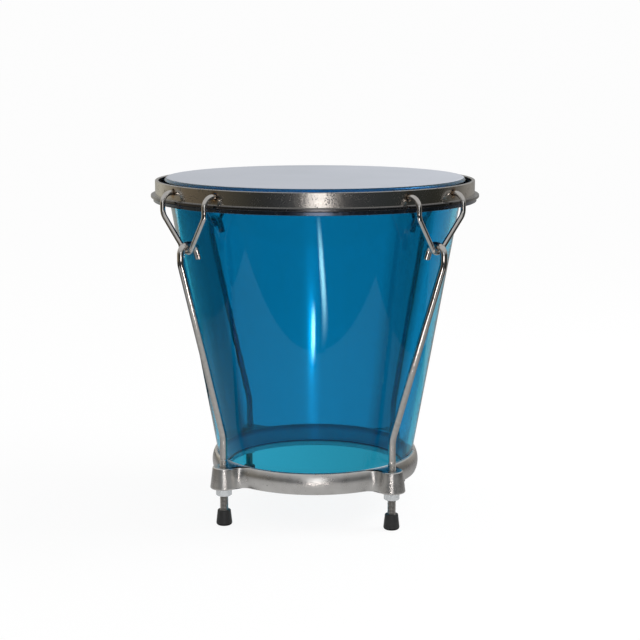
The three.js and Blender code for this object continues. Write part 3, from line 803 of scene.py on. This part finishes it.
def ring_section():
    """The casting's section, in rows: share from inside to outline, height, inside radius and edge inset."""
    mouth = SHELL_FOOT_DIAMETER / 2 - SHELL_WALL - LEDGE_INSIDE
    ledge = ring_foot + LEDGE_HEIGHT
    seat_top, seat_foot = shell_radius_at(ring_top) + FIT_GAP, shell_radius_at(ledge) + FIT_GAP
    corner = np.radians(np.linspace(0, 90, RING_EDGE_STEPS))
    drop, inset = RING_EDGE * (1 - np.sin(corner)), RING_EDGE * (1 - np.cos(corner))
    sides = np.linspace(ring_foot + RING_EDGE, ring_top - RING_EDGE, RING_SIDE_STEPS)[1:-1]
    rows = [(1, ring_foot + low, mouth, edge) for low, edge in zip(drop[::-1], inset[::-1])]
    rows += [(1, level, mouth, 0) for level in sides]
    rows += [(1, ring_top - low, seat_top, edge) for low, edge in zip(drop, inset)]
    rows += [(share, ring_top, seat_top, RING_EDGE) for share in (*RING_FLAT_SHARES[::-1], 0)]
    rows += [(0, ledge, seat_foot, 0), (0, ledge, mouth, 0), (0, ring_foot, mouth, 0)]
    rows += [(share, ring_foot, mouth, RING_EDGE) for share in RING_FLAT_SHARES]
    return np.array(rows).T[:, :, None]


def make_ring(material):
    """The casting as a section carried round its outline, then drilled for the rods.

    Each point of the section is a mix between a circle inside, which is the seat, ledge or mouth, and the
    outline outside, which is pushed out by the crown or in by the draft, the rounded edges and a slow wave.
    The wave is a product of two sines and a third sine, each shifted with height so that none line up.
    """
    outline, normals, crown = ring_outline()
    share, level, inner, inset = ring_section()
    rise = (level - ring_foot) / (ring_top - ring_foot)
    swell = RING_CROWN * 4 * rise * (1 - rise)
    around = once_round(len(outline))
    slow, cross, fine = (waves * around for waves in CASTING_WAVES)
    wave = np.sin(slow + 2 * rise) * np.sin(cross - 3 * rise + 1) + np.sin(fine + rise + 2)
    push = crown * swell - (1 - crown) * LUG_DRAFT * rise - inset + CASTING_WAVE * wave / 2 * share
    step = np.linalg.norm(np.diff(outline, axis=0, append=outline[:1]), axis=1)
    travelled = (np.cumsum(step) - step) / step.sum() * 2 * math.pi
    circle = on_circle(1, travelled + math.atan2(outline[0, 1], outline[0, 0]))
    outer = outline + push[..., None] * normals
    flat = (1 - share)[..., None] * inner[..., None] * circle + share[..., None] * outer
    grid = np.dstack([flat, np.broadcast_to(level, push.shape)])
    ring = new_piece("cast_ring", grid, True, material, "base_ring")
    radius = LUG_HOLE_DIAMETER / 2
    below, above = ring_foot - LEDGE_HEIGHT, ring_top + LEDGE_HEIGHT
    bar = turned([(0, below), (radius, below), (radius, above), (0, above)], SMALL_ROUND_STEPS)
    drill(ring, [turn(bar + [rod_reach, 0, 0], degrees) for degrees in station_turns])
    # The seat, the ledge and the mouth are raw and painted near white as painted light, and the outside is
    # polished
    x, y, z = points_of(ring)
    store_values(ring, "raw_painted_bright", np.where(np.hypot(x, y) < shell_radius_at(z) + FIT_GAP + FINE_EDGE, 1.0, 0.0))


def make_nut(station, material):
    """A hexagon with its corners cut by two cones.

    Its radius is the flats' distance over the cosine of the angle from the nearest flat, or the corner's or
    the cone's where that is less. Each cone's radius grows with the distance from its end of the nut.
    """
    flat = NUT_ACROSS_FLATS / 2
    side_angle = 2 * math.pi / NUT_SIDES
    angle = once_round(NUT_FLAT_STEPS * NUT_SIDES)
    from_flat = (angle - math.radians(NUT_TURNS[station]) + side_angle / 2) % side_angle - side_angle / 2
    hexagon = flat / np.cos(from_flat)
    corner = flat / math.cos(side_angle / 2) - NUT_CORNER
    slope = 1 / math.tan(math.radians(NUT_CHAMFER_ANGLE))
    chamfer = np.linspace(0, (corner - flat) / slope, NUT_CHAMFER_STEPS)
    side = np.concatenate([chamfer, nut_height - chamfer[::-1]])
    cone = flat + slope * np.minimum(side, nut_height - side)
    outer = np.minimum(np.minimum(hexagon, corner), cone[:, None])
    bore = np.full((1, len(angle)), NUT_BORE / 2)
    radius = np.concatenate([bore, outer, bore])
    level = np.concatenate([[0], side, [nut_height]])[:, None] + nut_foot
    grid = np.dstack([on_circle(radius, angle, (rod_reach, 0)), np.broadcast_to(level, radius.shape)])
    station_piece(station, "zinc_nut", grid, True, material, "hex_nut", NUT_SHARP)


def make_foot(station, material):
    """A tapered tip turned about its rod: rounded at the floor and the top, with a blind hole for the rod."""
    bore = FOOT_BORE / 2
    profile = rounded_profile(
        [(0, 0), (foot_radius, 0), (bore + FOOT_WALL, foot_top), (bore, foot_top), (bore, FOOT_SOLE),
         (0, FOOT_SOLE)],
        [FOOT_EDGE, FOOT_TOP_EDGE, FINE_EDGE, FINE_EDGE])
    grid = turned(profile, SMALL_ROUND_STEPS) + [rod_reach, 0, 0]
    station_piece(station, "rubber_tip", grid, False, material, "rubber_foot")


def make_drum():
    """Every piece of the drum with its finish."""
    make_shell(new_material("tinted_acrylic_polished", tinted_acrylic))
    film = new_material("polyester_film_clear", clear_film)
    make_head(film, new_material("drumhead_coating_sprayed", sprayed_coating))
    make_hoop(new_material("plated_steel_dark", dark_steel))
    make_rim(new_material("chromed_steel_pitted", pitted_chrome))
    make_ring(new_material("cast_aluminium_polished", cast_aluminium))
    wire = new_material("nickel_plated_wire_drawn", nickel_wire)
    zinc = new_material("zinc_plated_steel", zinc_plate)
    rubber = new_material("black_rubber_moulded", moulded_rubber)
    for station in range(STATIONS):
        make_claw(station, wire)
        make_rod(station, wire)
        make_nut(station, zinc)
        make_foot(station, rubber)


def from_camera_side(points):
    """Points given as distance towards the camera, distance to its right, and height, in the drum's frame."""
    return turn(points, CAMERA_AZIMUTH - 90)


def stage_mesh(name, points, faces, material):
    """A mesh of the stage, which isn't part of the drum."""
    mesh = bpy.data.meshes.new(name)
    mesh.from_pydata(np.asarray(points, float).reshape(-1, 3), [], faces)
    mesh.materials.append(material)
    thing = new_object(name, mesh)
    return thing


def hide_from(thing, ray_kind):
    """Hides a thing of the stage from a kind of ray, and from the camera, the drum's light and its shadow."""
    for ray in ("camera", "diffuse", "volume_scatter", "shadow", ray_kind):
        setattr(thing, f"visible_{ray}", False)


def seen_straight(tree):
    """One for rays from the camera or from metal or glass, and none for rays that light the drum."""
    path = add(tree, "LightPath")
    mirrored = add(tree, "Math", {
        0: path.outputs["Is Camera Ray"], 1: path.outputs["Is Glossy Ray"]}, operation="MAXIMUM")
    return add(tree, "Math", {0: mirrored, 1: path.outputs["Is Transmission Ray"]}, operation="MAXIMUM")


def pale_sheet(tree, _):
    """White paper that also glows where it is seen, so it looks nearly white and keeps the drum's shadow."""
    glow = add(tree, "Math", {0: seen_straight(tree), 1: FLOOR_GLOW}, operation="MULTIPLY")
    paper = add(tree, "BsdfDiffuse", {"Color": WHITE})
    white = add(tree, "Emission", {"Color": WHITE})
    return add(tree, "MixShader", {"Fac": glow, 1: paper, 2: white})


def make_floor():
    """A wide square sheet under the drum."""
    half = FLOOR_SIZE / 2
    stage_mesh("floor", [(-half, -half, 0), (half, -half, 0), (half, half, 0), (-half, half, 0)],
               [(0, 1, 2, 3)], new_material("pale_floor", pale_sheet))


def room_paint(tree, place):
    """The room's glow, which changes with the direction from the drum and grows pale towards the ceiling."""
    toward = add(tree, "Mapping", {"Vector": place, "Rotation": (0, 0, math.radians(90 - CAMERA_AZIMUTH))})
    around = add(tree, "TexGradient", {"Vector": toward}, gradient_type="RADIAL")
    ramp = add(tree, "ValToRGB", {"Fac": around.outputs["Fac"]})
    stops = ramp.color_ramp.elements
    stops[0].color = linear(ROOM_TONES[0][1])
    stops[1].color = linear(ROOM_TONES[-1][1])
    for position, colour in ROOM_TONES[1:-1]:
        stops.new(position).color = linear(colour)
    level = add(tree, "SeparateXYZ", {"Vector": place})
    rise = add(tree, "MapRange", {
        "Value": level.outputs["Z"], "From Min": PALE_FROM, "From Max": ROOM_HEIGHT})
    tone = add(tree, "Mix", {"Factor": rise, "A": ramp, "B": CEILING_TONE}, data_type="RGBA")
    return add(tree, "Emission", {"Color": tone})


def make_room():
    """A round room with its floor and ceiling, seen only in the metal and in the shell's gloss."""
    circle = on_circle(ROOM_RADIUS, once_round(ROOM_STEPS))
    foot = np.pad(circle, ((0, 0), (0, 1)), constant_values=ROOM_LEVEL)
    wall = np.stack([foot, foot + [0, 0, ROOM_HEIGHT]])
    ends = np.arange(2 * ROOM_STEPS).reshape(2, ROOM_STEPS)
    faces = [*faces_of(wall, closed_columns=True).tolist(), *ends.tolist()]
    hide_from(stage_mesh("room", wall, faces, new_material("room_paint", room_paint)), "transmission")


def make_card(name, towards, sideways, level, glow, hidden_from, colour=WHITE):
    """A grid of points, towards the camera, to its right and up, that glows by its own amount at each."""
    def stored_glow(tree, _):
        """Light of the amount that is stored for each point."""
        amount = add(tree, "Attribute", attribute_name="glow").outputs["Fac"]
        return add(tree, "Emission", {"Color": colour, "Strength": amount})

    grid = np.dstack(np.broadcast_arrays(towards, sideways, level))
    card = stage_mesh(name, from_camera_side(grid), faces_of(grid), new_material(name, stored_glow))
    store_values(card, "glow", np.broadcast_to(glow, grid.shape[:2]).ravel())
    hide_from(card, hidden_from)


def make_paper():
    """A grey sheet on the floor with dark ones beside it, whose edges draw the arcs in the shell's gloss.

    The grey one's glow falls evenly from its middle to its sides, by less the nearer its front edge.
    """
    along, across = np.linspace(0, 1, PAPER_ROWS)[:, None], np.linspace(0, 1, PAPER_COLUMNS)
    fall = PAPER_FALL * np.abs(2 * across - 1) * (1 - along ** 2)
    dark, grey = SHADE_GLOW, PAPER_GLOW * (1 - fall)
    for name, back, left, right, level, glow in [
            ("left_shade", LEFT_SHADE_BACK, -SHADE_SIDE, LEFT_SHADE_ENDS, SHADE_LEVEL, dark),
            ("right_shade", RIGHT_SHADE_BACK, PAPER_RIGHT, SHADE_SIDE, SHADE_LEVEL, dark),
            ("paper", PAPER_BACK, PAPER_LEFT, PAPER_RIGHT, PAPER_LEVEL, grey)]:
        towards, sideways = back + (PAPER_FRONT - back) * along, left + (right - left) * across
        make_card(name, towards, sideways, level, glow, "transmission")


def make_strips():
    """Bright strips on the floor that draw the streak and the glint down the shell, and the rim's highlight.

    Each is bowed to the right by a half wave that rises fastest at the end by the drum. Its glow is a half
    wave squared along, and falls across as the square of one less the distance squared.
    """
    along, across = np.linspace(0, 1, STRIP_ROWS)[:, None], np.linspace(-1, 1, STRIP_COLUMNS)
    fade = np.sin(math.pi * along) ** 2 * (1 - across ** 2) ** 2
    for name, (near, far, middle, bow, half, glow) in STRIPS.items():
        towards = near + (far - near) * along
        sideways = middle + bow * np.sin(math.pi * np.sqrt(along)) + half * across
        make_card(name, towards, sideways, STRIP_LEVEL, glow * fade, "transmission", STRIP_COLOUR)


def make_backdrop():
    """A card behind the drum, seen only through the shell: darker to the sides, with glows up its middle.

    Each point lies on the line from the camera through a point of the drum's upright middle plane, which is
    given by its height and its share of the shell's half width there. Each glow is a bell over both.
    """
    share = np.linspace(BACKDROP_TONES[0][0], BACKDROP_TONES[-1][0], BACKDROP_COLUMNS)
    height = np.linspace(0, shell_top, BACKDROP_ROWS)[:, None]
    beyond = 1 + BACKDROP_BEHIND / CAMERA_DISTANCE
    sideways = beyond * share * shell_radius_at(height)
    level = CAMERA_HEIGHT + beyond * (height - CAMERA_HEIGHT)
    gain = np.interp(height, (BACKDROP_LOW, BACKDROP_HIGH), (BACKDROP_LOW_GAIN, 1))
    tone = np.interp(share, *zip(*BACKDROP_TONES)) * gain
    for strength, half_width, middle, half_height in HALOS:
        aside, above = (share - HALO_SHARE) / half_width, (height - middle) / half_height
        tone = tone + strength * np.exp(-aside ** 2 - above ** 2)
    make_card("backdrop", -BACKDROP_BEHIND, sideways, level, tone, "glossy")


def make_shade_under_drum():
    """A disc on the floor, seen only through the shell, whose glow falls evenly to the right."""
    radius = np.linspace(0, BACKDROP_BEHIND, UNDER_DRUM_ROWS)[:, None]
    disc = on_circle(radius, np.linspace(0, 2 * math.pi, ROOM_STEPS))
    towards, sideways = np.moveaxis(disc, -1, 0)
    glow = UNDER_DRUM_GLOW - UNDER_DRUM_FALL * sideways / radius[-1]
    make_card("shade_under_drum", towards, sideways, PAPER_LEVEL, glow, "glossy")


def make_lamps():
    """Soft rectangular lamps aimed at the drum's axis: above to the right, and tall behind the camera."""
    for name, (place, width, height, watts, in_gloss) in LAMPS.items():
        light = bpy.data.lights.new(name, "AREA")
        light.shape = "RECTANGLE"
        light.size = width
        light.size_y = height
        light.energy = watts
        lamp = new_object(name, light)
        start, aim = from_camera_side([place, (0, 0, LAMP_AIM)])
        x, y, z = unit(aim - start)
        lamp.location = start
        lamp.rotation_euler = (math.acos(-z), 0, math.atan2(y, x) - math.pi / 2)
        lamp.visible_camera = False
        lamp.visible_glossy = in_gloss


def make_world():
    """An even surround: as white as the floor where it is seen, and a plain level of light on the drum."""
    world = bpy.data.worlds.new("studio")
    bpy.context.scene.world = world
    world.use_nodes = True
    tree = world.node_tree
    tree.nodes.clear()
    light = add(tree, "Background", {"Color": WHITE, "Strength": WORLD_LIGHT})
    floor_white = FLOOR_GLOW + (1 - FLOOR_GLOW) * WORLD_LIGHT
    white = add(tree, "Background", {"Color": WHITE, "Strength": floor_white})
    mixed = add(tree, "MixShader", {"Fac": seen_straight(tree), 1: light, 2: white})
    add(tree, "OutputWorld", {"Surface": mixed})


def make_camera():
    """The camera at the photograph's viewpoint."""
    lens = bpy.data.cameras.new("camera")
    lens.lens = CAMERA_LENS
    lens.sensor_width = SENSOR_WIDTH
    camera = new_object("camera", lens)
    camera.location = from_camera_side([CAMERA_DISTANCE, 0, CAMERA_HEIGHT])
    camera.rotation_euler = (math.radians(90 - CAMERA_PITCH), 0, math.radians(CAMERA_AZIMUTH - CAMERA_YAW))
    bpy.context.scene.camera = camera


make_camera()
make_drum()
make_floor()
make_room()
make_paper()
make_strips()
make_backdrop()
make_shade_under_drum()
make_lamps()
make_world()
bpy.context.scene.view_settings.view_transform = "Standard"
